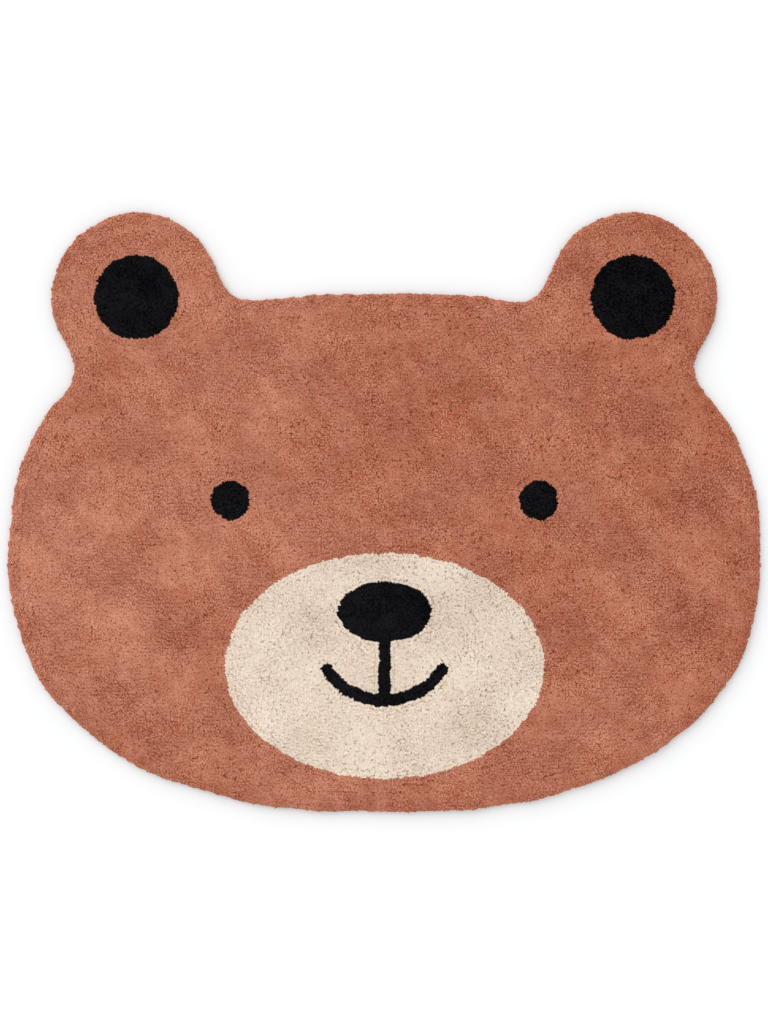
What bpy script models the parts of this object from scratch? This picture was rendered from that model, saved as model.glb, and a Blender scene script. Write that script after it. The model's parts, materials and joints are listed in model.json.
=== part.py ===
"""Kids rug, tufted in cotton in the plain outline of a bear's head and lying flat on a floor.

Metres, +Z up. The origin is on the floor under the middle of the rug, +X runs to the right across the head
and +Y runs up towards the ears. The rug is one piece: its backing and its pile are one closed solid.
"""

import math
from collections import namedtuple

import bmesh
import bpy
from mathutils import Vector
from mathutils.geometry import delaunay_2d_cdt

# The head: a broad superellipse, centred on x = 0
HEAD_HALF_WIDTH = 0.500
HEAD_HALF_HEIGHT = 0.345
HEAD_SQUARENESS = 2.35
DEEP_INSIDE = 0.3

# The ears: two discs, placed from the head's centre, and the soft corner where each runs into the head
EAR_RADIUS = 0.112
EAR_SIDE = 0.330
EAR_RISE = 0.340
NECK_SOFTNESS = 0.060

# The cut edge wanders a little, because it is cut and trimmed by hand
WANDER = 0.0010
WANDER_LENGTHS = (0.097, 0.173)

# The pile stands this high above the floor, and swells and dips softly where it has been trodden
PILE_HEIGHT = 0.0130
SWELL = 0.0007
SWELL_LENGTHS = (0.310, 0.190)

# How finely the shape is divided
EDGE_STEP = 0.011
TRACE_STEP = 0.002
TOP_STEP = 0.026
SLOPE_STEP = 1e-5
SETTLE_ROUNDS = 4

# The rim from the floor up: how far each row lies inside the outline, and its share of the pile's height.
# The backing is cut a little inside the outline, and the pile fans out over it.
RimRow = namedtuple("RimRow", "inset share")
RIM = (
    RimRow(inset=0.0050, share=0.00),
    RimRow(inset=0.0042, share=0.17),
    RimRow(inset=0.0000, share=0.52),
    RimRow(inset=0.0014, share=0.78),
    RimRow(inset=0.0055, share=0.95),
    RimRow(inset=0.0120, share=1.00),
)

# Terracotta cotton
PILE_COLOUR = (0.456, 0.159, 0.095, 1.0)
PILE_ROUGHNESS = 0.95

RUG_NAME = "tufted_rug"
COLLECTION_NAME = "kids_rug"


def clear_scene():
    for obj in list(bpy.data.objects):
        bpy.data.objects.remove(obj, do_unlink=True)


def head_distance(x, y):
    """About how far a point lies outside the head, and below zero inside it."""
    across = abs(x) / HEAD_HALF_WIDTH
    up = abs(y) / HEAD_HALF_HEIGHT
    reach = (across**HEAD_SQUARENESS + up**HEAD_SQUARENESS) ** (1 / HEAD_SQUARENESS)
    if reach < DEEP_INSIDE:
        return (reach - 1) * HEAD_HALF_HEIGHT
    slope = math.hypot(
        across ** (HEAD_SQUARENESS - 1) / HEAD_HALF_WIDTH,
        up ** (HEAD_SQUARENESS - 1) / HEAD_HALF_HEIGHT,
    )
    return (reach - 1) * reach ** (HEAD_SQUARENESS - 1) / slope


def ears_distance(x, y):
    return math.hypot(abs(x) - EAR_SIDE, y - EAR_RISE) - EAR_RADIUS


def wander(x, y):
    short, long = WANDER_LENGTHS
    return WANDER * (
        0.6 * math.sin(math.tau * (x + 0.7 * y) / short) + math.sin(math.tau * (y - 0.6 * x) / long + 1.3)
    )


def rug_distance(x, y):
    """How far a point lies outside the rug: the head and the ears run into each other with a soft corner."""
    head = head_distance(x, y)
    ears = ears_distance(x, y)
    near = max(NECK_SOFTNESS - abs(head - ears), 0) / NECK_SOFTNESS
    return min(head, ears) - near**2 * NECK_SOFTNESS / 4 + wander(x, y)


def outward(point):
    """The direction straight out of the rug at a point, as long as the distance changes there."""
    x, y = point
    return Vector(
        (
            rug_distance(x + SLOPE_STEP, y) - rug_distance(x - SLOPE_STEP, y),
            rug_distance(x, y + SLOPE_STEP) - rug_distance(x, y - SLOPE_STEP),
        )
    ) / (2 * SLOPE_STEP)


def settled(point):
    """The point moved straight in or out onto the outline."""
    for _ in range(SETTLE_ROUNDS):
        slope = outward(point)
        point = point - slope * rug_distance(*point) / slope.length_squared
    return point


def traced_outline():
    """Close points once round the outline, anticlockwise from the right cheek."""
    point = settled(Vector((HEAD_HALF_WIDTH, 0.0)))
    points = [point]
    while len(points) < 4 or (point - points[0]).length > TRACE_STEP:
        slope = outward(point)
        along = Vector((-slope.y, slope.x)).normalized()
        point = settled(point + along * TRACE_STEP)
        points.append(point)
    return points


def evenly_spaced(points, step):
    """A closed line again, with its points about one step apart."""
    closed = points + points[:1]
    travelled = [0.0]
    for start, end in zip(closed, closed[1:]):
        travelled.append(travelled[-1] + (end - start).length)
    count = round(travelled[-1] / step)
    spaced = []
    leg = 0
    for i in range(count):
        wanted = travelled[-1] * i / count
        while travelled[leg + 1] < wanted:
            leg += 1
        share = (wanted - travelled[leg]) / (travelled[leg + 1] - travelled[leg])
        spaced.append(settled(closed[leg].lerp(closed[leg + 1], share)))
    return spaced


def pile_height(x, y):
    long, short = SWELL_LENGTHS
    return PILE_HEIGHT + SWELL * (
        math.sin(math.tau * x / long + 0.8) * math.cos(math.tau * y / long)
        + 0.5 * math.sin(math.tau * (x + y) / short)
    )


def rim_point(point, row):
    flat = point - outward(point).normalized() * row.inset
    return Vector((flat.x, flat.y, row.share * pile_height(flat.x, flat.y)))


def add_loop(mesh, points):
    """A closed loop of edges through the points."""
    verts = [mesh.verts.new(point) for point in points]
    return [mesh.edges.new((a, b)) for a, b in zip(verts, verts[1:] + verts[:1])]


def inner_points(inset):
    """Points over the top of the pile, in staggered rows, clear of its rim."""
    clearance = inset + TOP_STEP / 2
    row_step = TOP_STEP * math.sqrt(3) / 2
    rows = math.ceil((EAR_RISE + EAR_RADIUS) / row_step)
    columns = math.ceil(HEAD_HALF_WIDTH / TOP_STEP)
    found = []
    for row in range(-rows, rows + 1):
        for column in range(-columns, columns + 1):
            x = (column + 0.5 * (row % 2)) * TOP_STEP
            y = row * row_step
            if rug_distance(x, y) < -clearance:
                found.append(Vector((x, y)))
    return found


def add_top(mesh, edge_points):
    """The top of the pile, as triangles between its edge and the points inside it."""
    count = len(edge_points)
    flat = [point.to_2d() for point in edge_points] + inner_points(RIM[-1].inset)
    border = [(i, (i + 1) % count) for i in range(count)]
    inside_of_border = 1
    points, _, faces, *_ = delaunay_2d_cdt(flat, border, [], inside_of_border, 1e-7)
    verts = [mesh.verts.new((x, y, pile_height(x, y))) for x, y in points]
    for face in faces:
        mesh.faces.new([verts[i] for i in face])


def rug_mesh():
    outline = evenly_spaced(traced_outline(), EDGE_STEP)
    rows = [[rim_point(point, row) for point in outline] for row in RIM]
    mesh = bmesh.new()
    loops = [add_loop(mesh, row) for row in rows]
    for lower, upper in zip(loops, loops[1:]):
        bmesh.ops.bridge_loops(mesh, edges=lower + upper)
    bmesh.ops.contextual_create(mesh, geom=loops[0])
    add_top(mesh, rows[-1])
    bmesh.ops.remove_doubles(mesh, verts=mesh.verts, dist=1e-5)
    bmesh.ops.recalc_face_normals(mesh, faces=mesh.faces)
    across = [vert.co.x for vert in mesh.verts]
    up = [vert.co.y for vert in mesh.verts]
    middle = Vector((max(across) + min(across), max(up) + min(up), 0)) / 2
    bmesh.ops.translate(mesh, verts=mesh.verts, vec=-middle)
    data = bpy.data.meshes.new(RUG_NAME)
    mesh.to_mesh(data)
    mesh.free()
    data.shade_smooth()
    data.set_sharp_from_angle(angle=math.radians(50))
    return data


def pile_material():
    material = bpy.data.materials.new("terracotta_pile")
    material.use_nodes = True
    shader = material.node_tree.nodes["Principled BSDF"]
    shader.inputs["Base Color"].default_value = PILE_COLOUR
    shader.inputs["Roughness"].default_value = PILE_ROUGHNESS
    shader.inputs["Metallic"].default_value = 0.0
    return material


def build_rug():
    collection = bpy.data.collections.new(COLLECTION_NAME)
    bpy.context.scene.collection.children.link(collection)
    rug = bpy.data.objects.new(RUG_NAME, rug_mesh())
    rug.data.materials.append(pile_material())
    collection.objects.link(rug)


clear_scene()
build_rug()
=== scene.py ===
"""Kids rug: the looks of a tufted cotton rug in the plain outline of a bear's head.

The rug lies flat on a pale floor and is seen from straight above. It is one canvas backing, the packed roots of
the pile on it, and the cut tufts themselves, yarn by yarn, in three colours. Every length is in metres, in the
frame of the CAD model: the origin is on the floor under the middle of the rug and +Y runs up to the ears.
"""

import json
import math
from collections import namedtuple

import bmesh
import bpy
import numpy as np
from bpy.props import FloatProperty, FloatVectorProperty, IntProperty, PointerProperty
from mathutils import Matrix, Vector
from mathutils.geometry import delaunay_2d_cdt

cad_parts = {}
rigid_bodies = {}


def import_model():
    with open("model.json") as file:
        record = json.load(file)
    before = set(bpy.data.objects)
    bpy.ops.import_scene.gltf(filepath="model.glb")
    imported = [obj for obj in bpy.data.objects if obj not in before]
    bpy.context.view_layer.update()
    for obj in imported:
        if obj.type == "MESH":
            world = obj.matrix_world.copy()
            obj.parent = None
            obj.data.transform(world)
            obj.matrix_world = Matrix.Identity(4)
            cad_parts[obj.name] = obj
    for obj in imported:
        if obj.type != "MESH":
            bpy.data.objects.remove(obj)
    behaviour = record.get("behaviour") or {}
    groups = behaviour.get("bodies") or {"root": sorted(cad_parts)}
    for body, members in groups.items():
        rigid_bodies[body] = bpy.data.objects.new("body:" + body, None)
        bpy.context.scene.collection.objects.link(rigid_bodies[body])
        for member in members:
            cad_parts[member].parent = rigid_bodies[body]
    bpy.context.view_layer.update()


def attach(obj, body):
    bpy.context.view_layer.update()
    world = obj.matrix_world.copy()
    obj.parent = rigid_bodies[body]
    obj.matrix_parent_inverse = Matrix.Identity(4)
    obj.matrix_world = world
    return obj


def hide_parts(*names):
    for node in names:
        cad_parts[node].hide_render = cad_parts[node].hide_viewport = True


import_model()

bl_info = {
    "name": "Kids Rug",
    "version": (1, 0, 0),
    "blender": (4, 5, 0),
    "location": "3D View > Sidebar > Rug",
    "description": "Makes a tufted cotton rug in the outline of a bear's head",
    "category": "Add Mesh",
}

RUG_NODE = "tufted_rug"


# The sizes and colours that a user would change


def length(name, description, default):
    return FloatProperty(
        name=name, description=description, default=default, unit="LENGTH", subtype="DISTANCE", precision=4
    )


def amount(name, description, default, low=0.0, high=10.0):
    return FloatProperty(name=name, description=description, default=default, min=low, max=high)


def colour(name, description, default):
    return FloatVectorProperty(
        name=name, description=description, default=default, subtype="COLOR", size=3, min=0, max=1
    )


class RugOutline(bpy.types.PropertyGroup):
    """The outline of the rug: a broad head and two round ears, as the CAD model has them."""

    head_half_width: length("Head half width", "From the middle of the head to the cheek", 0.500)
    head_half_height: length("Head half height", "From the middle of the head to the chin", 0.345)
    head_squareness: amount("Head squareness", "2 is an ellipse, and more is squarer", 2.35)
    ear_radius: length("Ear radius", "Radius of each round ear", 0.112)
    ear_side: length("Ear side", "From the middle of the head to an ear, sideways", 0.330)
    ear_rise: length("Ear rise", "From the middle of the head up to an ear", 0.340)
    neck_softness: length("Neck softness", "How softly an ear runs into the head", 0.060)
    wander: length("Edge wander", "How far the hand-cut edge strays", 0.0010)


class RugFace(bpy.types.PropertyGroup):
    """Where the plain motifs lie, from the middle of the head."""

    muzzle_half_width: length("Muzzle half width", "Half the width of the cream oval", 0.212)
    muzzle_half_height: length("Muzzle half height", "Half the height of the cream oval", 0.150)
    muzzle_drop: length("Muzzle drop", "How far the oval's middle lies below the head's", 0.150)
    nose_half_width: length("Nose half width", "Half the width of the oval nose", 0.062)
    nose_half_height: length("Nose half height", "Half the height of the oval nose", 0.040)
    nose_drop: length("Nose drop", "How far the nose lies below the middle of the head", 0.078)
    line_width: length("Line width", "Width of the mouth's lines, four rows of tufts", 0.0160)
    smile_radius: length("Smile radius", "Radius of the smile arc", 0.092)
    smile_drop: length("Smile drop", "How far the arc's lowest point lies below the middle of the head", 0.196)
    smile_reach: amount("Smile reach", "Half the angle that the arc covers, in radians", 0.98)
    eye_radius: length("Eye radius", "Radius of each round eye", 0.026)
    eye_side: length("Eye side", "From the middle of the head to an eye, sideways", 0.205)
    eye_rise: length("Eye rise", "From the middle of the head up to an eye", 0.070)
    inner_ear_radius: length("Inner ear radius", "Radius of the dark disc in each ear", 0.056)
    waver: length("Waver", "How far the hand-tufted edges of the motifs stray", 0.0007)


class RugPile(bpy.types.PropertyGroup):
    """The pile, its yarn and its colours."""

    height: length("Pile height", "From the floor to the tips of the tufts", 0.0130)
    swell: length("Swell", "How far the surface of the pile swells and dips", 0.0007)
    spacing: length("Tuft spacing", "From one tuft to the next", 0.0043)
    yarn_width: length("Yarn width", "Radius of one frayed yarn end", 0.00225)
    shown: length("Open depth", "How deep the tufts stand apart before their roots pack together", 0.0012)
    nap: amount("Nap", "How far the whole pile lies down towards the chin, in radians", 0.22)
    lean: amount("Lean", "How far the pile leans one way or another, in radians", 0.16)
    untidiness: amount("Untidiness", "How far each tuft leans on its own, in radians", 0.07)
    untidy_rows: length("Untidy rows", "How far the tufts are off their rows", 0.00065)
    unevenness: length("Unevenness", "How far the tips are off one level", 0.00024)
    seed: IntProperty(name="Seed", description="Fixes every random choice", default=11, min=0)
    ground_deep: colour("Terracotta, deep", "Darkest yarns of the ground pile", (0.370, 0.086, 0.036))
    ground_pale: colour("Terracotta, pale", "Palest yarns of the ground pile", (0.585, 0.264, 0.173))
    light_deep: colour("Cream, deep", "Darkest yarns of the light pile", (0.674, 0.554, 0.437))
    light_pale: colour("Cream, pale", "Palest yarns of the light pile", (0.867, 0.754, 0.651))
    dark_deep: colour("Black, deep", "Darkest yarns of the dark pile", (0.0003, 0.0003, 0.0006))
    dark_pale: colour("Black, pale", "Palest yarns of the dark pile", (0.0102, 0.0092, 0.0110))
    canvas: colour("Canvas", "Colour of the backing cloth", (0.60, 0.52, 0.40))


class RugStage(bpy.types.PropertyGroup):
    """The floor, the light and the camera."""

    camera_height: length("Camera height", "From the floor up to the camera", 2.6)
    view_width: length("View width", "How much of the pile the camera sees, across", 1.0205)
    floor: colour("Floor", "Colour of the floor", (0.843, 0.855, 0.865))
    sky: amount("Sky", "Strength of the even light from all round", 0.97)
    key: amount("Key light", "Strength of the wide soft light from the upper left", 1.10, high=100.0)
    key_spread: FloatProperty(
        name="Key spread", description="How wide the soft light is", default=math.radians(55), subtype="ANGLE"
    )


SETTINGS = {
    "rug_outline": RugOutline,
    "rug_face": RugFace,
    "rug_pile": RugPile,
    "rug_stage": RugStage,
}


# The outline, drawn from the middle of the head and then moved to the middle of the rug

# The hand-cut edge strays in slanting waves: the share and length of each, how it runs along X and Y, and its start
WANDERS = ((0.6, 0.097, (1.0, 0.7), 0.0), (1.0, 0.173, (-0.6, 1.0), 1.3))
# Deeper inside the head than this share of the way out, a rough distance will do
DEEP_INSIDE = 0.3
TRACE_STEP = 0.002
SLOPE_STEP = 1e-5
SETTLE_ROUNDS = 3
TINY = 1e-9


def head_distance(x, y, outline):
    """About how far points lie outside the head, and below zero inside it."""
    power = outline.head_squareness
    across = np.abs(x) / outline.head_half_width
    up = np.abs(y) / outline.head_half_height
    reach = np.maximum((across**power + up**power) ** (1 / power), TINY)
    slope = np.hypot(across ** (power - 1) / outline.head_half_width, up ** (power - 1) / outline.head_half_height)
    near = (reach - 1) * reach ** (power - 1) / np.maximum(slope, TINY)
    return np.where(reach < DEEP_INSIDE, (reach - 1) * outline.head_half_height, near)


def rug_distance(points, outline):
    """How far points, from the middle of the head, lie outside the rug."""
    x, y = points[..., 0], points[..., 1]
    head = head_distance(x, y, outline)
    ears = np.hypot(np.abs(x) - outline.ear_side, y - outline.ear_rise) - outline.ear_radius
    near = np.maximum(outline.neck_softness - np.abs(head - ears), 0) / outline.neck_softness
    wander = sum(
        share * np.sin(math.tau * (x * along_x + y * along_y) / wave + start)
        for share, wave, (along_x, along_y), start in WANDERS
    )
    return np.minimum(head, ears) - near**2 * outline.neck_softness / 4 + outline.wander * wander


def slope_at(points, outline):
    """How the distance changes along X and Y at points."""
    steps = SLOPE_STEP * np.eye(2)
    return np.stack(
        [rug_distance(points + step, outline) - rug_distance(points - step, outline) for step in steps], -1
    ) / (2 * SLOPE_STEP)


def settled(points, outline):
    """The points moved straight in or out onto the outline."""
    for _ in range(SETTLE_ROUNDS):
        slope = slope_at(points, outline)
        off = rug_distance(points, outline) / (slope**2).sum(-1)
        points = points - slope * off[..., None]
    return points


def traced_rim(outline):
    """Close points round the outline, anticlockwise, moved to the middle of the rug, and that move."""
    point = settled(np.array([outline.head_half_width, 0.0]), outline)
    points = [point]
    while len(points) < 4 or np.linalg.norm(point - points[0]) > TRACE_STEP:
        slope = slope_at(point, outline)
        along = np.array([-slope[1], slope[0]]) / np.linalg.norm(slope)
        point = settled(point + along * TRACE_STEP, outline)
        points.append(point)
    rim = np.array(points)
    middle = (rim.max(0) + rim.min(0)) / 2
    return rim - middle, middle


# Closed lines: the rim and the motifs' edges are all loops of points, anticlockwise

# A motif: its kind of pile, its edge, and how many rows of tufts follow the edge inside it and outside it
Region = namedtuple("Region", "name loop rows_in rows_out")
# Further than this from the box round a loop, the distance to that box will do
NEAR = 0.012
# The edges of the motifs stray in waves: the length and share of each
WAVERS = ((0.016, 0.5), (0.027, 0.7), (0.061, 0.8))
# How close the points of a measured edge and of a drawn line's edge lie, and how many a drawn line and its caps have
MEASURED_STEP = 0.0012
STROKE_STEP = 0.001
SMILE_POINTS = 80
STEM_POINTS = 40
CAP_POINTS = 12
# The stem starts behind the nose, this share of the nose's half height below its middle
STEM_START = 0.8
# How many points are measured at a time
BATCH = 4000
# The waves of a drift are this many times as long as its size
DRIFT_WAVES = (0.7, 1.6)
# The surface of the pile swells in long waves both ways, and in shorter slanting ones with a share of the strength
LONG_SWELL = 0.310
LONG_SWELL_START = 0.8
SLANT_SWELL = 0.190
SLANT_SWELL_SHARE = 0.5


def spaced(line, step, closed=True, phase=0.0):
    """A line again, with its points one step apart."""
    path = np.vstack([line, line[:1]]) if closed else line
    legs = np.linalg.norm(np.diff(path, axis=0), axis=1)
    travelled = np.concatenate([[0], np.cumsum(legs)])
    count = max(int(round(travelled[-1] / step)), 3)
    wanted = (np.arange(count) + phase % 1) * travelled[-1] / count
    return np.stack([np.interp(wanted, travelled, path[:, i]) for i in (0, 1)], -1)


def right_of(along):
    """The directions a quarter turn to the right of others."""
    return np.stack([along[:, 1], -along[:, 0]], -1)


def outward(loop):
    """The direction out of an anticlockwise loop at each of its points."""
    along = np.roll(loop, -1, 0) - np.roll(loop, 1, 0)
    return right_of(along / np.linalg.norm(along, axis=1)[:, None])


def inset_loop(rim, inset):
    return rim - outward(rim) * inset


def oval(centre, half_width, half_height, count=720):
    turn = np.arange(count) * math.tau / count
    return np.asarray(centre) + np.stack([half_width * np.cos(turn), half_height * np.sin(turn)], -1)


def stroke(line, width):
    """The edge of a drawn line with round ends."""
    along = np.gradient(line, axis=0)
    along /= np.linalg.norm(along, axis=1)[:, None]
    side = right_of(along) * width / 2
    turn = np.linspace(0, math.pi, CAP_POINTS)[1:-1, None]
    start_cap = line[0] - side[0] * np.cos(turn) - along[0] * np.sin(turn) * width / 2
    end_cap = line[-1] + side[-1] * np.cos(turn) + along[-1] * np.sin(turn) * width / 2
    return spaced(np.vstack([line + side, end_cap, (line - side)[::-1], start_cap]), STROKE_STEP)


def batches(points):
    """A long row of points cut into slices, each with the X and Y of its points as columns."""
    for start in range(0, len(points), BATCH):
        part = slice(start, start + BATCH)
        yield part, points[part, 0, None], points[part, 1, None]


def signed_distance(points, loop):
    """How far points lie outside a loop, and below zero inside it. Points far off get the distance to its box."""
    found = np.linalg.norm(np.maximum(np.maximum(loop.min(0) - points, points - loop.max(0)), 0), axis=1)
    near = np.flatnonzero(found < NEAR)
    found[near] = exact_distance(points[near], loop)
    return found


def exact_distance(points, loop):
    """How far points lie from a loop, and below zero where a line to the right crosses it an odd number of times."""
    edge = spaced(loop, MEASURED_STEP)
    ahead = np.roll(edge, -1, 0)
    run, rise = (ahead - edge).T
    level = np.where(rise == 0, 1, rise)
    found = np.empty(len(points))
    for part, x, y in batches(points):
        away = np.hypot(x - edge[:, 0], y - edge[:, 1]).min(1)
        crosses = (edge[:, 1] > y) != (ahead[:, 1] > y)
        left = x < edge[:, 0] + (y - edge[:, 1]) / level * run
        inside = (crosses & left).sum(1) % 2 == 1
        found[part] = np.where(inside, -away, away)
    return found


def nearest_index(points, others):
    """Which of the others lies nearest to each point."""
    found = np.empty(len(points), int)
    for part, x, y in batches(points):
        found[part] = ((x - others[:, 0]) ** 2 + (y - others[:, 1]) ** 2).argmin(1)
    return found


def wavering(loop, strength, phase):
    """A motif's edge as it is tufted by hand: it strays a little in and out."""
    legs = np.linalg.norm(np.diff(np.vstack([loop, loop[:1]]), axis=0), axis=1)
    around = np.concatenate([[0], np.cumsum(legs)[:-1]]) / legs.sum()
    stray = np.zeros(len(loop))
    for wave, share in WAVERS:
        turns = max(round(legs.sum() / wave), 2)
        stray += share * np.sin(math.tau * turns * around + phase * (3 + turns))
    return loop + outward(loop) * (strength * stray)[:, None]


def regions(settings, middle):
    """The motifs, each in front of those before it."""
    face, outline = settings.rug_face, settings.rug_outline
    head = -middle
    muzzle = oval(head - (0, face.muzzle_drop), face.muzzle_half_width, face.muzzle_half_height)
    nose = oval(head - (0, face.nose_drop), face.nose_half_width, face.nose_half_height)
    turn = np.linspace(-face.smile_reach, face.smile_reach, SMILE_POINTS) - math.pi / 2
    smile_centre = head + (0, face.smile_radius - face.smile_drop)
    smile = smile_centre + face.smile_radius * np.stack([np.cos(turn), np.sin(turn)], -1)
    stem_top = -face.nose_drop - STEM_START * face.nose_half_height
    stem_rises = np.linspace(stem_top, -face.smile_drop, STEM_POINTS)
    stem = head + np.stack([np.zeros(STEM_POINTS), stem_rises], -1)
    found = [
        Region("light", muzzle, 2, 2),
        Region("dark", stroke(smile, face.line_width), 3, 1),
        Region("dark", stroke(stem, face.line_width), 3, 1),
        Region("dark", nose, 12, 1),
    ]
    for side in (-1, 1):
        eye = head + (side * face.eye_side, face.eye_rise)
        ear = head + (side * outline.ear_side, outline.ear_rise)
        found += [
            Region("dark", oval(eye, face.eye_radius, face.eye_radius), 12, 2),
            Region("dark", oval(ear, face.inner_ear_radius, face.inner_ear_radius), 14, 2),
        ]
    return [part._replace(loop=wavering(part.loop, face.waver, i)) for i, part in enumerate(found)]


def pile_top(points, pile):
    """The height of the tips well inside the rim."""
    x, y = points[:, 0], points[:, 1]
    return pile.height + pile.swell * (
        np.sin(math.tau * x / LONG_SWELL + LONG_SWELL_START) * np.cos(math.tau * y / LONG_SWELL)
        + SLANT_SWELL_SHARE * np.sin(math.tau * (x + y) / SLANT_SWELL)
    )


def drift(points, size, rng, waves=12):
    """A smooth random value over the rug that changes over about this size, mostly between -2 and 2."""
    total = np.zeros(len(points))
    for _ in range(waves):
        turn, phase = rng.uniform(0, math.tau, 2)
        wave = size * rng.uniform(*DRIFT_WAVES)
        total += np.cos(math.tau * (points[:, 0] * math.cos(turn) + points[:, 1] * math.sin(turn)) / wave + phase)
    return total / math.sqrt(waves / 2)


# Where each tuft is rooted and where its tip ends

Tufts = namedtuple("Tufts", "roots aims tones kinds girths")
KINDS = ("ground", "light", "dark")

# The rows at the rim, from the lowest: inset of the tips, share of the pile's height, and root inset and height.
# The outermost tufts fan out over the edge of the backing.
RIM_TUFTS = (
    (0.0022, 0.26, 0.0064, 0.0028),
    (0.0010, 0.45, 0.0064, 0.0034),
    (0.0012, 0.66, 0.0070, 0.0044),
    (0.0030, 0.84, 0.0078, 0.0060),
    (0.0058, 0.94, 0.0088, 0.0072),
    (0.0088, 0.98, 0.0106, 0.0082),
    (0.0120, 1.00, 0.0128, 0.0086),
)
# How far apart they stand, in tuft spacings
RIM_PITCH = 0.84
# How far they bunch in and out along the rim, and over what length
RIM_BUNCH = 0.0005
RIM_BUNCH_LENGTH = 0.016
# How far each strays on its own in or out and along the rim, and how much more uneven they are than the rest
RIM_STRAY = 0.0005
RIM_SWAY = 0.0011
RIM_UNEVEN = 1.3
# The other tufts start this far in, and the outer rows of them still follow the rim
FILL_FROM = 0.0142
RIM_ROWS = 3
RIM_ROWS_FROM = 0.0150
RIM_ROW_PITCH = 0.92

# The tufts right along a motif's edge are narrower and stand closer, so that it is crisp. In tuft spacings: how far
# that reaches, how far apart the tufts of a row are set out, and how close two may come.
EDGE_REACH = 0.75
EDGE_PITCH = 0.78
EDGE_GIRTH = 0.80
EDGE_GAP = 0.62
USUAL_PITCH = 0.94
USUAL_GAP = 0.80
# How far from the edge the first row inside and outside it lies, and how well a row has to keep its distance
FIRST_ROW_IN = 0.42
FIRST_ROW_OUT = 0.48
ROW_FIT = 0.2
# How much tidier the rows near an edge are
EDGE_UNTIDY = 0.7
# In straight rows: how far apart the tufts are, in spacings, and how far and how quickly the rows stray
STRAIGHT_PITCH = 0.97
STRAY = 0.0012
STRAY_ALONG = 0.037
STRAY_ACROSS = 0.011

# The pile parts more in some places than in others, so that dark specks show: the share of tufts that are missing,
# the size of such places, how far it rises and falls there and where the pile looks deep, and the range it keeps to
PARTED = {"ground": 0.030, "light": 0.040, "dark": 0.005}
PARTED_PATCH = 0.045
PARTED_SWING = 0.9
PARTED_BY_TONE = 3.0
PARTED_USUAL = 0.2
PARTED_SLOPE = 1.3
PARTED_MOST = 3.5
# The tips are more uneven in such places
UNEVEN_SLOPE = 0.35
UNEVEN_RANGE = (-1.2, 1.6)
# The share of tufts that are cut short, and by how much
SHORT = 0.015
SHORT_BY = 0.0016
# The tips stand this far below the level of the CAD model's top, because they tilt as they lean
LEVEL = -0.0005
# How deep each tuft stands in the packed roots
ROOTED = 0.0015
# The pile leans together over patches of this size, the light pile lies down further, and no tuft leans too far
LEAN_PATCH = 0.11
LIGHT_NAP = 1.2
MOST_LEAN = 0.8
# Painted shade and sheen: how strongly the tone of the pile drifts over patches of each size, as the nap lies one
# way or another and throws back more or less light. The patches are wider than they are tall.
NAP_SHADE_PATCHES = ((0.015, 0.032), (0.024, 0.044), (0.042, 0.039), (0.090, 0.034), (0.240, 0.034), (0.500, 0.034))
PATCH_SHAPE = (0.85, 1.0)
PATCH_WAVES = 24
# Painted shade: how much deeper the tone is made a metre further to the right, where less of the light falls along
# the nap
RIGHTWARD_PAINTED_SHADE = 0.165
# How far each tuft's tone is off that of its place, and the range of tones
TONE_NOISE = 0.02
TONE_RANGE = (-0.2, 1.2)


def painted_nap_tones(points, seed):
    """Painted shade and sheen of the nap lying one way or another: how pale the pile is at points, 0.5 in the
    middle.
    """
    rng = np.random.default_rng(seed)
    tones = 0.5 - RIGHTWARD_PAINTED_SHADE * points[:, 0]
    for size, strength in NAP_SHADE_PATCHES:
        tones += strength * drift(points * PATCH_SHAPE, size, rng, PATCH_WAVES)
    return tones


def rim_tufts(rim, pile, rng):
    """The roots and tips of the tufts at the rim."""
    out = outward(rim)
    roots, tips = [], []
    for tip_inset, tip_share, root_inset, root_height in RIM_TUFTS:
        line = spaced(rim, pile.spacing * RIM_PITCH, phase=rng.random())
        direction = out[nearest_index(line, rim)]
        bunch = RIM_BUNCH * drift(line, RIM_BUNCH_LENGTH, np.random.default_rng(pile.seed))
        stray = rng.normal(0, RIM_STRAY, len(line)) + bunch
        tip = line - direction * (tip_inset + stray)[:, None]
        root = line - direction * root_inset
        side = -right_of(direction) * rng.normal(0, RIM_SWAY, (len(line), 1))
        uneven = rng.normal(0, RIM_UNEVEN * pile.unevenness, len(line))
        roots.append(np.column_stack([root, np.full(len(line), root_height)]))
        tips.append(np.column_stack([tip + side, pile_top(line, pile) * tip_share + uneven]))
    return np.vstack(roots), np.vstack(tips)


def edge_rows(region, spacing, rng):
    """Rows of tufts that follow a motif's edge, inside it and outside it."""
    inside = [-(i + FIRST_ROW_IN) for i in range(region.rows_in)]
    outside = [i + FIRST_ROW_OUT for i in range(region.rows_out)]
    found = []
    for row in inside + outside:
        line = region.loop + outward(region.loop) * row * spacing
        pitch = EDGE_PITCH if abs(row) < EDGE_REACH else USUAL_PITCH
        line = spaced(line, spacing * pitch, phase=rng.random())
        off = signed_distance(line, region.loop) - row * spacing
        found.append(line[np.abs(off) < ROW_FIT * spacing])
    return np.vstack(found)


def straight_rows(low, high, spacing, upright, rng):
    """Straight rows of tufts over a box, side by side."""
    along, across = (1, 0) if upright else (0, 1)
    lines = np.arange(low[across], high[across], spacing)
    places = np.arange(low[along], high[along], spacing * STRAIGHT_PITCH)
    points = np.empty((len(lines), len(places), 2))
    points[..., along] = places + rng.uniform(0, spacing, (len(lines), 1))
    points[..., across] = lines[:, None]
    points = points.reshape(-1, 2)
    points[:, across] += STRAY * np.sin(points[:, along] / STRAY_ALONG + points[:, across] / STRAY_ACROSS)
    return points


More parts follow.
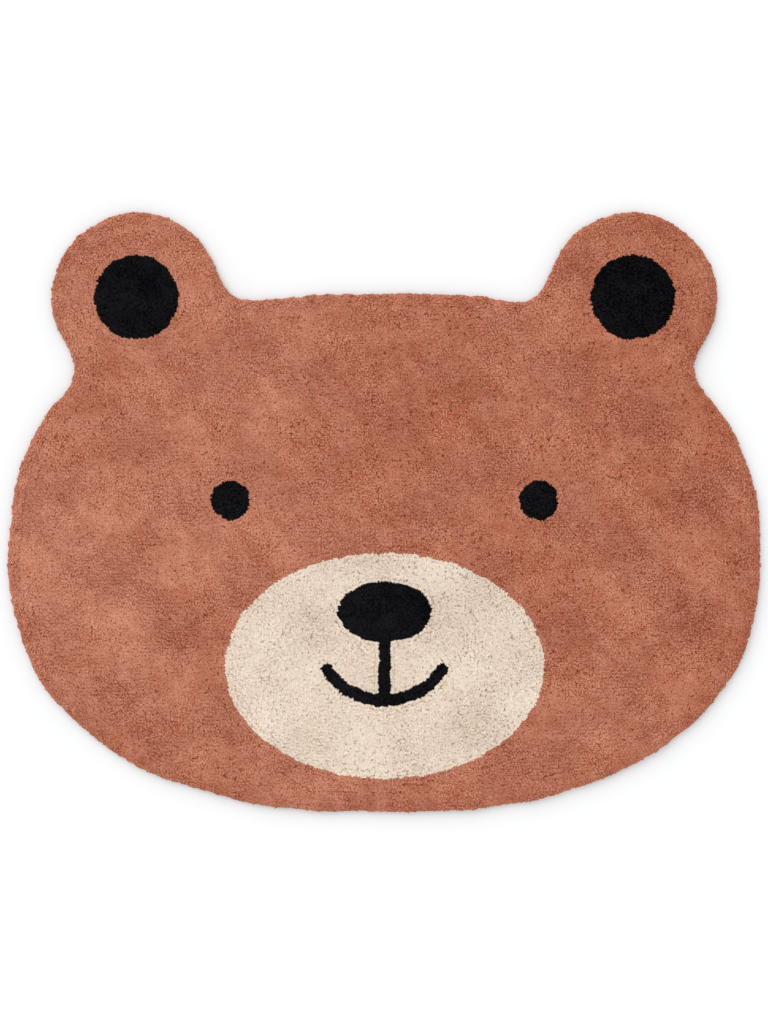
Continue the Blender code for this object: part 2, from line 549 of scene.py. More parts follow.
def thinned(points, gaps):
    """Which points stay, so that none lies closer than its gap to an earlier one."""
    cells = {}
    kept = []
    cell = gaps.max()
    for i, (x, y, gap) in enumerate(np.column_stack([points, gaps]).tolist()):
        column, row = int(x // cell), int(y // cell)
        near = (
            other
            for c in (column - 1, column, column + 1)
            for r in (row - 1, row, row + 1)
            for other in cells.get((c, r), ())
        )
        if all((x - a) ** 2 + (y - b) ** 2 >= gap * gap for a, b in near):
            cells.setdefault((column, row), []).append((x, y))
            kept.append(i)
    return kept


def kinds_at(points, found):
    """Which colour of pile each point lies in, as an index into KINDS, and the distance to the nearest edge."""
    kinds = np.zeros(len(points), int)
    edge = np.full(len(points), np.inf)
    for region in found:
        away = signed_distance(points, region.loop)
        kinds[away < 0] = KINDS.index(region.name)
        edge = np.minimum(edge, np.abs(away))
    return kinds, edge


def within_rim(points, rim, middle, outline):
    """Which points lie far enough inside the rim. The exact distance is only found near it."""
    about = rug_distance(points + middle, outline)
    inside = about < -3 * FILL_FROM
    near = np.flatnonzero(~inside & (about < 0))
    inside[near] = exact_distance(points[near], rim) < -FILL_FROM
    return inside


def tuft_places(settings, rim, middle, rng):
    """Where the tufts inside the rim's own stand, the colour of each and how far it is from a motif's edge."""
    spacing = settings.rug_pile.spacing
    found = regions(settings, middle)
    low, high = rim.min(0), rim.max(0)
    rows = np.vstack([edge_rows(region, spacing, rng) for region in reversed(found)])
    level = straight_rows(low, high, spacing, False, rng)
    upright = straight_rows(low, high, spacing, True, rng)
    round_rim = [inset_loop(rim, RIM_ROWS_FROM + row * spacing * RIM_ROW_PITCH) for row in range(RIM_ROWS)]
    round_rim = [spaced(line, spacing * USUAL_PITCH, phase=rng.random()) for line in round_rim]
    following = np.vstack([rows, *round_rim])
    flat = np.vstack([following, level, upright])
    meant = np.repeat([-1, KINDS.index("ground"), KINDS.index("light")], [len(following), len(level), len(upright)])
    kinds, edge = kinds_at(flat, found)
    fits = (meant < 0) | (meant == kinds)
    flat, edge = flat[fits], edge[fits]
    flat = flat[thinned(flat, spacing * np.where(edge < EDGE_REACH * spacing, EDGE_GAP, USUAL_GAP))]
    flat = flat[within_rim(flat, rim, middle, settings.rug_outline)]
    return flat, *kinds_at(flat, found)


def planned_tufts(settings):
    """Every tuft of the rug."""
    pile = settings.rug_pile
    rng = np.random.default_rng(pile.seed)
    rim, middle = traced_rim(settings.rug_outline)
    flat, kinds, edge = tuft_places(settings, rim, middle, rng)
    girths = np.where(edge < EDGE_REACH * pile.spacing, EDGE_GIRTH, 1.0)
    untidy = np.where(edge < pile.spacing, EDGE_UNTIDY, 1.0)
    flat = flat + rng.normal(0, pile.untidy_rows, flat.shape) * untidy[:, None]
    parted = np.array([PARTED[kind] for kind in KINDS])[kinds]
    paleness = painted_nap_tones(flat, pile.seed) - 0.5
    open_here = PARTED_SWING * drift(flat, PARTED_PATCH, rng) - PARTED_BY_TONE * paleness
    stays = rng.random(len(flat)) > parted * np.clip(PARTED_USUAL + PARTED_SLOPE * open_here, 0, PARTED_MOST)
    flat, kinds, open_here, girths = flat[stays], kinds[stays], open_here[stays], girths[stays]

    lean = np.stack([drift(flat, LEAN_PATCH, rng), drift(flat, LEAN_PATCH, rng)], -1) * pile.lean / 2
    lean += rng.normal(0, pile.untidiness, lean.shape)
    lean[:, 1] -= pile.nap * np.where(kinds == KINDS.index("light"), LIGHT_NAP, 1.0)
    uneven = pile.unevenness * (1 + UNEVEN_SLOPE * np.clip(open_here, *UNEVEN_RANGE))
    height = pile_top(flat, pile) + LEVEL + rng.normal(0, 1, len(flat)) * uneven
    height[rng.random(len(flat)) < SHORT] -= SHORT_BY
    rise = np.full(len(flat), pile.shown + ROOTED)
    roots = np.column_stack([flat, height - rise])
    aims = np.column_stack([np.tan(np.clip(lean, -MOST_LEAN, MOST_LEAN)) * rise[:, None], rise])

    rim_roots, rim_tips = rim_tufts(rim, pile, rng)
    roots = np.vstack([roots, rim_roots])
    aims = np.vstack([aims, rim_tips - rim_roots])
    kinds = np.concatenate([kinds, np.zeros(len(rim_roots), int)])
    girths = np.concatenate([girths, np.ones(len(rim_roots))])
    # Each tuft's tone is the painted shade and sheen of the nap where it stands, plus a random tone of its own
    tones = painted_nap_tones(roots[:, :2], pile.seed) + rng.normal(0, TONE_NOISE, len(roots))
    return Tufts(roots, aims, np.clip(tones, *TONE_RANGE), kinds, girths)


# Meshes

# The margin round a piece's own map
MAP_MARGIN = 0.002
# How far the loose points of a top keep from its edge and from the lines on it
TOP_GAP = 0.004
MERGED = 1e-5


def new_piece(name, mesh, *materials):
    """A finished mesh as a piece of the object."""
    for material in materials:
        mesh.materials.append(material)
    piece = bpy.data.objects.new(name, mesh)
    bpy.context.scene.collection.objects.link(piece)
    return piece


def dressed(piece, slot, *nodes):
    """The piece on the rug's one body, with the nodes it replaces hidden. The finish it stands for is not used."""
    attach(piece, "root")
    if nodes:
        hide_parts(*nodes)
    return piece


def points_of(mesh):
    places = np.empty(len(mesh.vertices) * 3, np.float32)
    mesh.vertices.foreach_get("co", places)
    return places.reshape(-1, 3)


def mark(mesh, **values):
    """Gives each point of a mesh named values, for its material or for the nodes."""
    for name, row in values.items():
        mesh.attributes.new(name, "FLOAT", "POINT").data.foreach_set("value", np.asarray(row, np.float32))


def flat_map(mesh):
    """Lays the mesh's own map out as it is seen from above."""
    flat = points_of(mesh)[:, :2]
    low, high = flat.min(0), flat.max(0)
    corners = np.empty(len(mesh.loops), np.int32)
    mesh.loops.foreach_get("vertex_index", corners)
    uv = MAP_MARGIN + (1 - 2 * MAP_MARGIN) * (flat - low) / (high - low)
    layer = mesh.uv_layers.new(name="OFBake")
    layer.uv.foreach_set("vector", uv[corners].ravel())


def add_loop(mesh, points):
    """A closed loop of edges through the points."""
    verts = [mesh.verts.new(point) for point in points]
    return [mesh.edges.new((a, b)) for a, b in zip(verts, verts[1:] + verts[:1])]


def layered_mesh(rim, rows, top_lines, inner, top_height):
    """A flat closed body: rows of (inset, height) up its side, and a top that holds the given lines and points."""
    mesh = bmesh.new()
    loops = []
    for inset, height in rows:
        flat = inset_loop(rim, inset)
        heights = np.full(len(flat), height) if height is not None else top_height(flat)
        loops.append(add_loop(mesh, np.column_stack([flat, heights])))
    for lower, upper in zip(loops, loops[1:]):
        bmesh.ops.bridge_loops(mesh, edges=lower + upper)
    bmesh.ops.contextual_create(mesh, geom=loops[0])
    edge = inset_loop(rim, rows[-1][0])
    points = [edge, *top_lines, inner[signed_distance(inner, edge) < -TOP_GAP]]
    borders, start = [], 0
    for line in points[:-1]:
        borders += [(start + i, start + (i + 1) % len(line)) for i in range(len(line))]
        start += len(line)
    flat = [Vector(point) for point in np.vstack(points)]
    inside_of_border = 1
    placed, _, faces, *_ = delaunay_2d_cdt(flat, borders, [], inside_of_border, 1e-7)
    placed = np.array([tuple(point) for point in placed])
    verts = [mesh.verts.new(point) for point in np.column_stack([placed, top_height(placed)])]
    for face in faces:
        mesh.faces.new([verts[i] for i in face])
    bmesh.ops.remove_doubles(mesh, verts=mesh.verts, dist=MERGED)
    bmesh.ops.recalc_face_normals(mesh, faces=mesh.faces)
    return mesh


def finished(mesh, name):
    data = bpy.data.meshes.new(name)
    mesh.to_mesh(data)
    mesh.free()
    data.shade_smooth()
    return data


# Nodes


def fill(tree, node, inputs):
    """Sets a node's inputs, and links those whose value is the output of another node."""
    for name, value in inputs.items():
        if isinstance(value, bpy.types.NodeSocket):
            tree.links.new(value, node.inputs[name])
        else:
            node.inputs[name].default_value = value
    return node


def new_node(tree, kind, inputs=None, **settings):
    node = tree.nodes.new(kind)
    for name, value in settings.items():
        setattr(node, name, value)
    return fill(tree, node, inputs or {})


# The tufts, made with Geometry Nodes

YARNS = 6
YARN_FACES = 4
# How far up the painted shade of the pile each yarn starts: 0 is the packed roots, in the whole painted root shade,
# and 1 the tips, in none
YARN_BASE = 0.8
# How the yarns of a tuft part, in yarn radii: at the tips, and as a share of that at the roots
TIP_SPREAD = 1.26
ROOT_SPREAD = 0.45
# From one yarn of a tuft to the next, in radians
YARN_TURN = 2.4
# How far the yarns differ in tone, turn, spread, width, height and in the height of their corners
PLY_NOISE = 0.2
TURN_NOISE = 0.2
SPREAD_NOISE = 0.08
WIDTH_NOISE = 0.08
TIP_NOISE = 0.03
CORNER_NOISE = 0.05
TUFT_SHAPES = 16
# Pile with more triangles than this is split over more pieces
MOST_TRIANGLES = 190_000
# No yarn goes lower than this
LOWEST = 0.0002


def tuft_shape(rng):
    """One tuft, one unit high: yarns that part towards the tip, each a three-sided wedge that frays wider."""
    verts, faces, along = [], [], []
    first_turn = rng.uniform(0, math.tau)
    ply = rng.normal(0.5, PLY_NOISE, YARNS)
    ply = np.repeat(np.clip(ply - ply.mean() + 0.5, 0, 1), 4)
    for yarn in range(YARNS):
        turn = first_turn + yarn * YARN_TURN + rng.normal(0, TURN_NOISE)
        direction = np.array([math.cos(turn), math.sin(turn)])
        spread = TIP_SPREAD * math.sqrt((yarn + 0.5) / YARNS) + rng.normal(0, SPREAD_NOISE)
        spin = rng.uniform(0, math.tau)
        tip_height = 1 + rng.normal(0, TIP_NOISE)
        width = rng.normal(1, WIDTH_NOISE)
        verts.append((*(direction * spread * ROOT_SPREAD), 0.0))
        for corner in range(3):
            angle = spin + corner * math.tau / 3
            place = direction * spread + width * np.array([math.cos(angle), math.sin(angle)])
            verts.append((*place, tip_height + rng.normal(0, CORNER_NOISE)))
        along += [YARN_BASE, 1.0, 1.0, 1.0]
        base = yarn * 4
        faces += [(base, base + 1 + (corner + 1) % 3, base + 1 + corner) for corner in range(3)]
        faces.append((base + 1, base + 2, base + 3))
    mesh = bpy.data.meshes.new("tuft_shape")
    mesh.from_pydata(verts, [], faces)
    mark(mesh, along=along, ply=ply)
    return mesh


def tuft_shapes(seed):
    """A hidden collection of differing tufts for the nodes to pick from."""
    rng = np.random.default_rng(seed)
    collection = bpy.data.collections.new("tuft_shapes")
    for i in range(TUFT_SHAPES):
        collection.objects.link(bpy.data.objects.new(f"tuft_shape_{i}", tuft_shape(rng)))
    return collection


def cleared(collection):
    for obj in list(collection.objects):
        mesh = obj.data
        bpy.data.objects.remove(obj, do_unlink=True)
        bpy.data.meshes.remove(mesh)
    bpy.data.collections.remove(collection)


def tufting_nodes():
    """Stands a tuft on every point: turned along the point's aim, spun at random and as long as the aim."""
    tree = bpy.data.node_groups.new("Cut tufts", "GeometryNodeTree")
    for label, kind in (
        ("Points", "Geometry"),
        ("Tuft shapes", "Collection"),
        ("Yarn width", "Float"),
        ("Seed", "Int"),
        ("Pile", "Material"),
    ):
        socket = tree.interface.new_socket(label, in_out="INPUT", socket_type=f"NodeSocket{kind}")
        if kind == "Float":
            socket.subtype = "DISTANCE"
    tree.interface.new_socket("Tufts", in_out="OUTPUT", socket_type="NodeSocketGeometry")
    given = new_node(tree, "NodeGroupInput").outputs

    def read(name, kind):
        return new_node(tree, "GeometryNodeInputNamedAttribute", {"Name": name}, data_type=kind).outputs["Attribute"]

    def picked(kind, ends):
        return new_node(tree, "FunctionNodeRandomValue", {**ends, "Seed": given["Seed"]}, data_type=kind).outputs

    aim = read("aim", "FLOAT_VECTOR")
    turned = new_node(tree, "FunctionNodeAlignRotationToVector", {"Vector": aim}, axis="Z")
    spin = new_node(tree, "FunctionNodeAxisAngleToRotation", {"Angle": picked("FLOAT", {3: math.tau})[1]})
    turns = {"Rotation": turned.outputs["Rotation"], "Rotate By": spin.outputs["Rotation"]}
    spun = new_node(tree, "FunctionNodeRotateRotation", turns, rotation_space="LOCAL")
    widths = {0: given["Yarn width"], 1: read("girth", "FLOAT")}
    wide = new_node(tree, "ShaderNodeMath", widths, operation="MULTIPLY").outputs["Value"]
    how_long = new_node(tree, "ShaderNodeVectorMath", {0: aim}, operation="LENGTH").outputs["Value"]
    size = new_node(tree, "ShaderNodeCombineXYZ", {"X": wide, "Y": wide, "Z": how_long})
    shown = {"Collection": given["Tuft shapes"], "Separate Children": True, "Reset Children": True}
    standing = {
        "Points": given["Points"],
        "Instance": new_node(tree, "GeometryNodeCollectionInfo", shown).outputs["Instances"],
        "Pick Instance": True,
        "Instance Index": picked("INT", {4: 0, 5: TUFT_SHAPES - 1})[2],
        "Rotation": spun.outputs["Rotation"],
        "Scale": size.outputs["Vector"],
    }
    placed = new_node(tree, "GeometryNodeInstanceOnPoints", standing)
    real = new_node(tree, "GeometryNodeRealizeInstances", {"Geometry": placed.outputs["Instances"]})
    finish = {"Geometry": real.outputs["Geometry"], "Material": given["Pile"]}
    coloured = new_node(tree, "GeometryNodeSetMaterial", finish)
    new_node(tree, "NodeGroupOutput", {"Tufts": coloured.outputs["Geometry"]})
    return tree


def tufted(name, tufts, chosen, tree, shapes, pile, material):
    """A piece of pile: a real mesh of the chosen tufts."""
    mesh = bpy.data.meshes.new(f"{name}_points")
    roots, aims = tufts.roots[chosen], tufts.aims[chosen]
    mesh.vertices.add(len(roots))
    mesh.vertices.foreach_set("co", roots.astype(np.float32).ravel())
    mesh.attributes.new("aim", "FLOAT_VECTOR", "POINT").data.foreach_set("vector", aims.astype(np.float32).ravel())
    mark(mesh, tone=tufts.tones[chosen], girth=tufts.girths[chosen])
    points = bpy.data.objects.new(f"{name}_points", mesh)
    bpy.context.scene.collection.objects.link(points)
    modifier = points.modifiers.new("Cut tufts", "NODES")
    modifier.node_group = tree
    wanted = {"Tuft shapes": shapes, "Yarn width": pile.yarn_width, "Seed": pile.seed, "Pile": material}
    for item in tree.interface.items_tree:
        if item.in_out == "INPUT" and item.name in wanted:
            modifier[item.identifier] = wanted[item.name]
    depsgraph = bpy.context.evaluated_depsgraph_get()
    made = bpy.data.meshes.new_from_object(points.evaluated_get(depsgraph))
    bpy.data.objects.remove(points, do_unlink=True)
    bpy.data.meshes.remove(mesh)
    made.name = name
    if not len(made.polygons):
        raise RuntimeError(f"{name} came out empty")
    places = points_of(made)
    places[:, 2] = np.maximum(places[:, 2], LOWEST)
    made.vertices.foreach_set("co", places.ravel())
    for label in ("aim", "girth"):
        if label in made.attributes:
            made.attributes.remove(made.attributes[label])
    flat_map(made)
    return new_piece(name, made)


# Materials

# The pattern of fibres over the pile, the patches where it stands out more or less, and the places where the painted
# shade of the packed roots is lifted
FIBRES = {"Scale": 475.0, "Detail": 0.3}
CRISP_PATCHES = {"Scale": 16.0, "Detail": 2.0}
LIFTED_SHADE_PLACES = {"Scale": 200.0, "Detail": 3.0, "Roughness": 0.7}
# How much more the fibres stand out in some patches, and how much more where the pile is deep in tone
CRISP_SWING = 3.4
CRISP_BY_TONE = 0.9
# Between these values of the pattern the painted root shade is lifted, and where the pile is pale it is lifted
# sooner
SHADE_LIFT_FROM = 0.425
SHADE_LIFT_TO = 0.585
SHADE_LIFT_BY_TONE = 0.36
# How the threads of the canvas stray, how dark it is between them, and how many there are
THREADS = {"Distortion": 1.2, "Detail": 2.0, "Detail Scale": 0.02}
THREAD_GAP = 0.72
THREADS_A_METRE = 700.0
# How rough the finishes are, how deep their relief is, and how strongly it shows
PILE_ROUGHNESS, PILE_RELIEF = 0.95, 0.0006
CANVAS_ROUGHNESS, CANVAS_RELIEF = 0.9, 0.0002
RELIEF_STRENGTH = 0.6
# The sockets of a Mix node that take two colours and their factor, and the one that puts out a colour
MIX_FACTOR, MIX_LOW, MIX_HIGH, MIX_RESULT = 0, 6, 7, 2
# For each colour of pile: the painted shade of its roots, how far its tufts, yarns and fibres differ in tone, how
# fine the fibres are along the nap beside across it, how much more painted light the palest patches of nap get than
# the deepest, and how far the painted root shade is lifted in places
LOOK_INPUTS = (
    "Root shade", "Tuft range", "Yarn range", "Fibre range", "Along the nap", "Nap light", "Closed roots"
)
YARN_LOOKS = {
    "ground": ((0.57, 0.40, 0.28, 1), 1.0, 0.15, 1.36, 1.0, 0.16, 0.85),
    "light": ((0.60, 0.52, 0.44, 1), 0.54, 0.15, 1.28, 0.7, 0.10, 0.85),
    "dark": ((0.50, 0.50, 0.50, 1), 1.3, 1.0, 1.4, 1.0, 0.30, 0.0),
}
PILE_GLOSS = {"ground": 0.20, "light": 0.20, "dark": 0.05}


def shader_group(name, inputs):
    """A group that puts out a colour and a height, still empty, and the inputs that it is given."""
    tree = bpy.data.node_groups.new(name, "ShaderNodeTree")
    for label, value in inputs.items():
        kind = "NodeSocketFloat" if isinstance(value, float) else "NodeSocketColor"
        tree.interface.new_socket(label, in_out="INPUT", socket_type=kind).default_value = value
    for label, kind in (("Colour", "NodeSocketColor"), ("Height", "NodeSocketFloat")):
        tree.interface.new_socket(label, in_out="OUTPUT", socket_type=kind)
    return tree, new_node(tree, "NodeGroupInput").outputs


def yarn_group():
    """Cotton yarn between a deep and a pale tone. Each tuft, yarn and fibre has its own tone, pale patches of nap
    get painted light, and the packed roots get painted shade except where it is lifted in places."""
    look = dict(zip(LOOK_INPUTS, YARN_LOOKS["ground"]))
    tree, given = shader_group("Cotton yarn", {"Deep": (0.4, 0.4, 0.4, 1), "Pale": (0.6, 0.6, 0.6, 1), **look})

    def attribute(name):
        return new_node(tree, "ShaderNodeAttribute", attribute_name=name).outputs["Fac"]

    def maths(operation, *values, clamp=False):
        made = new_node(tree, "ShaderNodeMath", dict(enumerate(values)), operation=operation, use_clamp=clamp)
        return made.outputs["Value"]

    def swing(value, span):
        return maths("MULTIPLY", maths("SUBTRACT", value, 0.5), span)

    def noise(place, pattern, dimensions="2D"):
        made = new_node(tree, "ShaderNodeTexNoise", {"Vector": place, **pattern}, noise_dimensions=dimensions)
        return made.outputs["Fac"]

    def mixed(kind, factor, low, high):
        inputs = {MIX_FACTOR: factor, MIX_LOW: low, MIX_HIGH: high}
        return new_node(tree, "ShaderNodeMix", inputs, data_type="RGBA", blend_type=kind).outputs[MIX_RESULT]

    place = new_node(tree, "ShaderNodeTexCoord").outputs["Object"]
    tuft_tone = attribute("tone")
    fineness = new_node(tree, "ShaderNodeCombineXYZ", {"X": 1.0, "Y": given["Along the nap"], "Z": 1.0})
    stretch = {0: place, 1: fineness.outputs["Vector"]}
    stretched = new_node(tree, "ShaderNodeVectorMath", stretch, operation="MULTIPLY")
    fibres = noise(stretched.outputs["Vector"], FIBRES)
    crispness = maths("ADD", swing(noise(place, CRISP_PATCHES), CRISP_SWING), 1.0)
    crispness = maths("SUBTRACT", crispness, swing(tuft_tone, CRISP_BY_TONE))
    fibre_range = maths("MULTIPLY", given["Fibre range"], crispness)
    swings = maths("ADD", swing(tuft_tone, given["Tuft range"]), swing(attribute("ply"), given["Yarn range"]))
    swings = maths("ADD", swings, swing(fibres, fibre_range))
    blended = mixed("MIX", maths("ADD", swings, 0.5, clamp=True), given["Deep"], given["Pale"])
    # Painted light: pale patches of nap are brightened, for the light their nap throws back
    light = maths("ADD", swing(tuft_tone, given["Nap light"]), 1.0)
    lit = new_node(tree, "ShaderNodeVectorMath", {0: blended, "Scale": light}, operation="SCALE")
    # Painted shade between the tufts: towards the roots the colour is darkened by the root shade, which is lifted in
    # random places and sooner where the pile is pale
    shade_lifting = maths("ADD", noise(place, LIFTED_SHADE_PLACES, "3D"), swing(tuft_tone, SHADE_LIFT_BY_TONE))
    span = {"From Min": SHADE_LIFT_FROM, "From Max": SHADE_LIFT_TO, "To Max": given["Closed roots"]}
    closed = new_node(tree, "ShaderNodeMapRange", {"Value": shade_lifting, **span})
    shaded = maths("MAXIMUM", attribute("along"), closed.outputs["Result"])
    depth = mixed("MIX", shaded, given["Root shade"], (1.0, 1.0, 1.0, 1.0))
    shown = mixed("MULTIPLY", 1.0, lit.outputs["Vector"], depth)
    new_node(tree, "NodeGroupOutput", {"Colour": shown, "Height": fibres})
    return tree


def weave_group():
    """Plain canvas: threads over and under in both directions, some thicker than others."""
    tree, given = shader_group("Canvas weave", {"Colour": (0.6, 0.5, 0.4, 1), "Threads a metre": THREADS_A_METRE})
    place = new_node(tree, "ShaderNodeTexCoord").outputs["Object"]
    inputs = {"Vector": place, "Scale": given["Threads a metre"], **THREADS}
    waves = [new_node(tree, "ShaderNodeTexWave", inputs, bands_direction=way).outputs["Fac"] for way in "XY"]
    highest = new_node(tree, "ShaderNodeMath", dict(enumerate(waves)), operation="MAXIMUM").outputs["Value"]
    shade = new_node(tree, "ShaderNodeMapRange", {"Value": highest, "To Min": THREAD_GAP, "To Max": 1.0})
    dimmed = {0: given["Colour"], "Scale": shade.outputs["Result"]}
    scaled = new_node(tree, "ShaderNodeVectorMath", dimmed, operation="SCALE")
    new_node(tree, "NodeGroupOutput", {"Colour": scaled.outputs["Vector"], "Height": highest})
    return tree


def cloth_material(name, group, values, roughness, relief, gloss=0.2):
    """A matt textile whose colour and relief come from a group."""
    material = bpy.data.materials.new(name)
    material.use_nodes = True
    tree = material.node_tree
    surface = new_node(tree, "ShaderNodeGroup", values, node_tree=group)
    bump = {"Strength": RELIEF_STRENGTH, "Distance": relief, "Height": surface.outputs["Height"]}
    raised = new_node(tree, "ShaderNodeBump", bump).outputs["Normal"]
    finish = {"Base Color": surface.outputs["Colour"], "Roughness": roughness, "Specular IOR Level": gloss}
    fill(tree, tree.nodes["Principled BSDF"], {**finish, "Normal": raised})
    return material


def group_named(name, make):
    return bpy.data.node_groups.get(name) or make()


def pile_material(kind, pile):
    """The finish of one colour of pile, made once."""
    name = f"{kind}_cotton"
    if name in bpy.data.materials:
        return bpy.data.materials[name]
    tones = {"Deep": (*getattr(pile, f"{kind}_deep"), 1), "Pale": (*getattr(pile, f"{kind}_pale"), 1)}
    values = {**tones, **dict(zip(LOOK_INPUTS, YARN_LOOKS[kind]))}
    group = group_named("Cotton yarn", yarn_group)
    return cloth_material(name, group, values, PILE_ROUGHNESS, PILE_RELIEF, PILE_GLOSS[kind])


# Operators

# The side of the backing and of the packed roots, from below: how far in from the rim, and how high. The last row
# of the roots is at the level of their top.
BACKING_ROWS = ((0.0058, 0.0), (0.0052, 0.0004), (0.0052, 0.0014), (0.0058, 0.0018))
ROOT_ROWS = (
    (0.0064, 0.0017),
    (0.0044, 0.0030),
    (0.0034, 0.0055),
    (0.0036, 0.0078),
    (0.0050, 0.0098),
    (0.0074, 0.0110),
    (0.0112, None),
)
# How far apart the points of the two lie along the rim, along the motifs' edges and over the top
BACKING_STEP = 0.010
ROOTS_STEP = 0.008
MOTIF_STEP = 0.005
TOP_STEP = 0.020
SHARP = math.radians(50)


class RugBacking(bpy.types.Operator):
    """Make the canvas that the pile is tufted through."""

    bl_idname = "rug.backing"
    bl_label = "Backing"

    def execute(self, context):
        rim, _ = traced_rim(context.scene.rug_outline)
        rim, no_points = spaced(rim, BACKING_STEP), np.empty((0, 2))
        mesh = layered_mesh(rim, BACKING_ROWS, [], no_points, lambda flat: np.full(len(flat), BACKING_ROWS[-1][1]))
        data = finished(mesh, "rug_backing")
        data.set_sharp_from_angle(angle=SHARP)
        values = {"Colour": (*context.scene.rug_pile.canvas, 1), "Threads a metre": THREADS_A_METRE}
        weave = group_named("Canvas weave", weave_group)
        canvas = cloth_material("natural_canvas", weave, values, CANVAS_ROUGHNESS, CANVAS_RELIEF)
        dressed(new_piece("rug_backing", data, canvas), "backing")
        return {"FINISHED"}


class RugPileRoots(bpy.types.Operator):
    """Make the packed roots of the pile, in the three colours."""

    bl_idname = "rug.pile_roots"
    bl_label = "Pile roots"

    def execute(self, context):
        settings = context.scene
        pile = settings.rug_pile
        rim, middle = traced_rim(settings.rug_outline)
        found = regions(settings, middle)
        rim = spaced(rim, ROOTS_STEP)
        lines = [spaced(region.loop, MOTIF_STEP) for region in found]
        inner = np.meshgrid(*[np.arange(low, high, TOP_STEP) for low, high in zip(rim.min(0), rim.max(0))])
        inner = np.stack(inner, -1).reshape(-1, 2)
        inner = inner[rug_distance(inner + middle, settings.rug_outline) < -TOP_STEP]
        inner = inner[kinds_at(inner, found)[1] > TOP_GAP]
        mesh = layered_mesh(rim, ROOT_ROWS, lines, inner, lambda flat: pile_top(flat, pile) + LEVEL - pile.shown)
        mesh.faces.ensure_lookup_table()
        middles = np.array([face.calc_center_median().to_2d() for face in mesh.faces])
        for face, kind in zip(mesh.faces, kinds_at(middles, found)[0]):
            face.material_index = int(kind) if face.normal.z > 0.5 else 0
        data = finished(mesh, "pile_roots")
        if not len(data.polygons):
            raise RuntimeError("the pile's roots came out empty")
        places = points_of(data)[:, :2].astype(float)
        # The packed roots carry no along value, so they get the whole painted root shade
        mark(data, tone=painted_nap_tones(places, pile.seed), ply=np.full(len(places), 0.5))
        materials = [pile_material(kind, pile) for kind in KINDS]
        dressed(new_piece("pile_roots", data, *materials), "ground_pile", RUG_NODE)
        return {"FINISHED"}


class RugTufts(bpy.types.Operator):
    """Make the cut tufts of all three colours."""

    bl_idname = "rug.tufts"
    bl_label = "Tufts"

    def execute(self, context):
        pile = context.scene.rug_pile
        tufts = planned_tufts(context.scene)
        tree = tufting_nodes()
        shapes = tuft_shapes(pile.seed)
        for index, kind in enumerate(KINDS):
            chosen = np.flatnonzero(tufts.kinds == index)
            chosen = chosen[np.argsort(tufts.roots[chosen, 0], kind="stable")]
            strips = math.ceil(len(chosen) * YARNS * YARN_FACES / MOST_TRIANGLES)
            for number, part in enumerate(np.array_split(chosen, strips), 1):
                name = f"{kind}_tufts_{number}" if strips > 1 else f"{kind}_tufts"
                piece = tufted(name, tufts, part, tree, shapes, pile, pile_material(kind, pile))
                dressed(piece, f"{kind}_pile")
        cleared(shapes)
        bpy.data.node_groups.remove(tree)
        return {"FINISHED"}


# The floor is a wide square, a little below the rug's underside so that the two stay apart
FLOOR_REACH = 40.0
FLOOR_DROP = 0.0003
FLOOR_ROUGHNESS = 0.9
FLOOR_GLOSS = 0.1
LAMP_PLACE = (-1.2, 1.6, 1.7)
SENSOR_WIDTH = 36.0
NEAREST_SEEN = 0.05


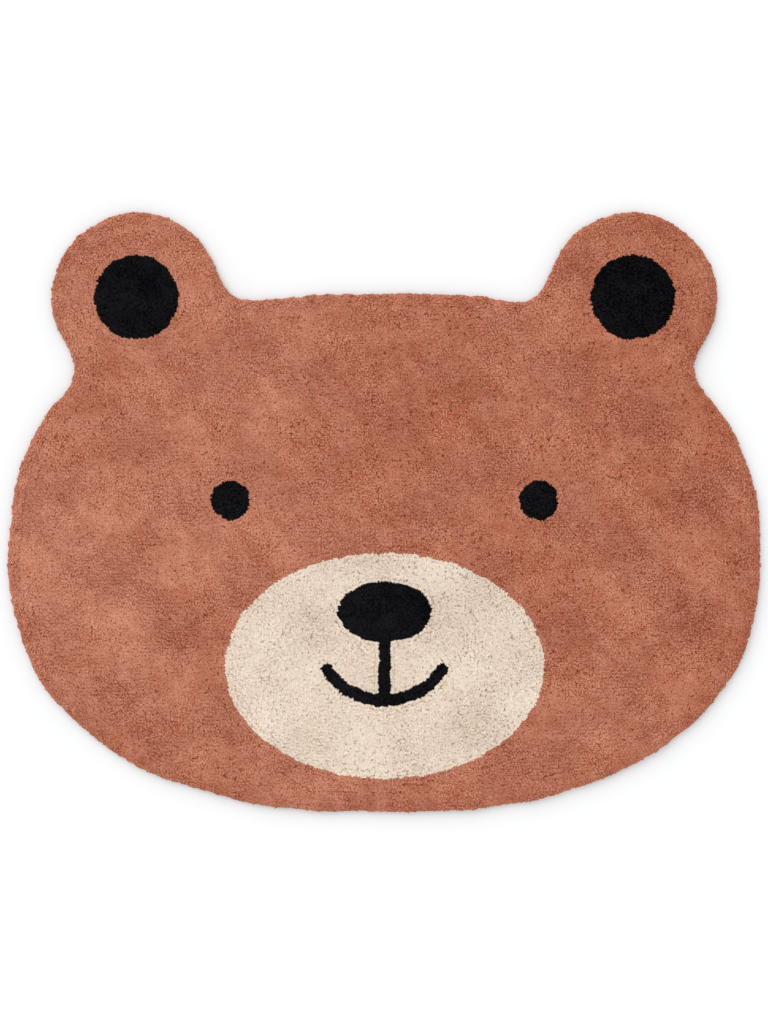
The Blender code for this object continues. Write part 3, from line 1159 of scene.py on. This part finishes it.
class RugStageMaker(bpy.types.Operator):
    """Make the pale floor, the soft light and the camera above the rug."""

    bl_idname = "rug.stage"
    bl_label = "Floor, light and camera"

    def execute(self, context):
        scene, stage, pile = context.scene, context.scene.rug_stage, context.scene.rug_pile
        corners = [(x * FLOOR_REACH, y * FLOOR_REACH, -FLOOR_DROP) for x, y in ((-1, -1), (1, -1), (1, 1), (-1, 1))]
        floor_mesh = bpy.data.meshes.new("floor")
        floor_mesh.from_pydata(corners, [], [(0, 1, 2, 3)])
        pale = bpy.data.materials.new("pale_floor")
        pale.use_nodes = True
        finish = {"Base Color": (*stage.floor, 1), "Roughness": FLOOR_ROUGHNESS, "Specular IOR Level": FLOOR_GLOSS}
        fill(pale.node_tree, pale.node_tree.nodes["Principled BSDF"], finish)
        new_piece("floor", floor_mesh, pale)

        world = bpy.data.worlds.new("studio")
        world.use_nodes = True
        even_light = {"Color": (1, 1, 1, 1), "Strength": stage.sky}
        fill(world.node_tree, world.node_tree.nodes["Background"], even_light)
        scene.world = world

        key = bpy.data.lights.new("key_light", "SUN")
        key.angle = stage.key_spread
        key.energy = stage.key
        lamp = bpy.data.objects.new("key_light", key)
        lamp.location = LAMP_PLACE
        lamp.rotation_euler = lamp.location.to_track_quat("Z", "Y").to_euler()
        scene.collection.objects.link(lamp)

        camera = bpy.data.cameras.new("camera")
        camera.sensor_fit = "HORIZONTAL"
        camera.sensor_width = SENSOR_WIDTH
        camera.lens = camera.sensor_width * (stage.camera_height - pile.height) / stage.view_width
        camera.clip_start = NEAREST_SEEN
        eye = bpy.data.objects.new("camera", camera)
        eye.location = (0.0, 0.0, stage.camera_height)
        scene.collection.objects.link(eye)
        scene.camera = eye
        scene.view_settings.view_transform = "Standard"
        scene.view_settings.look = "None"
        return {"FINISHED"}


class RugPanel(bpy.types.Panel):
    """Lists the steps and the sizes of the rug."""

    bl_label = "Kids Rug"
    bl_idname = "VIEW3D_PT_kids_rug"
    bl_space_type = "VIEW_3D"
    bl_region_type = "UI"
    bl_category = "Rug"

    def draw(self, context):
        layout = self.layout
        for operator in OPERATORS:
            layout.operator(operator.bl_idname)
        for name, group in SETTINGS.items():
            box = layout.box()
            box.label(text=group.__doc__)
            for prop in group.__annotations__:
                box.prop(getattr(context.scene, name), prop)


OPERATORS = (RugBacking, RugPileRoots, RugTufts, RugStageMaker)


def register():
    for name, group in SETTINGS.items():
        bpy.utils.register_class(group)
        setattr(bpy.types.Scene, name, PointerProperty(type=group))
    for made in (*OPERATORS, RugPanel):
        bpy.utils.register_class(made)


def unregister():
    for made in reversed((*OPERATORS, RugPanel)):
        bpy.utils.unregister_class(made)
    for name, group in SETTINGS.items():
        delattr(bpy.types.Scene, name)
        bpy.utils.unregister_class(group)


def declare_cloth():
    """The backing is the cloth, cut to the rug's outline, and the pile is what is on it. This traces the rim and
    finds the pieces of pile, but does nothing more with them.
    """
    rim, _ = traced_rim(bpy.context.scene.rug_outline)
    ahead = np.roll(rim, -1, 0)
    names = ("pile_roots", *[f"{kind}_tufts" for kind in KINDS])
    pieces = [piece for piece in bpy.data.objects if piece.name.startswith(names)]


def main():
    register()
    bpy.ops.rug.backing()
    bpy.ops.rug.pile_roots()
    bpy.ops.rug.tufts()
    bpy.ops.rug.stage()
    declare_cloth()


if __name__ == "__main__":
    main()
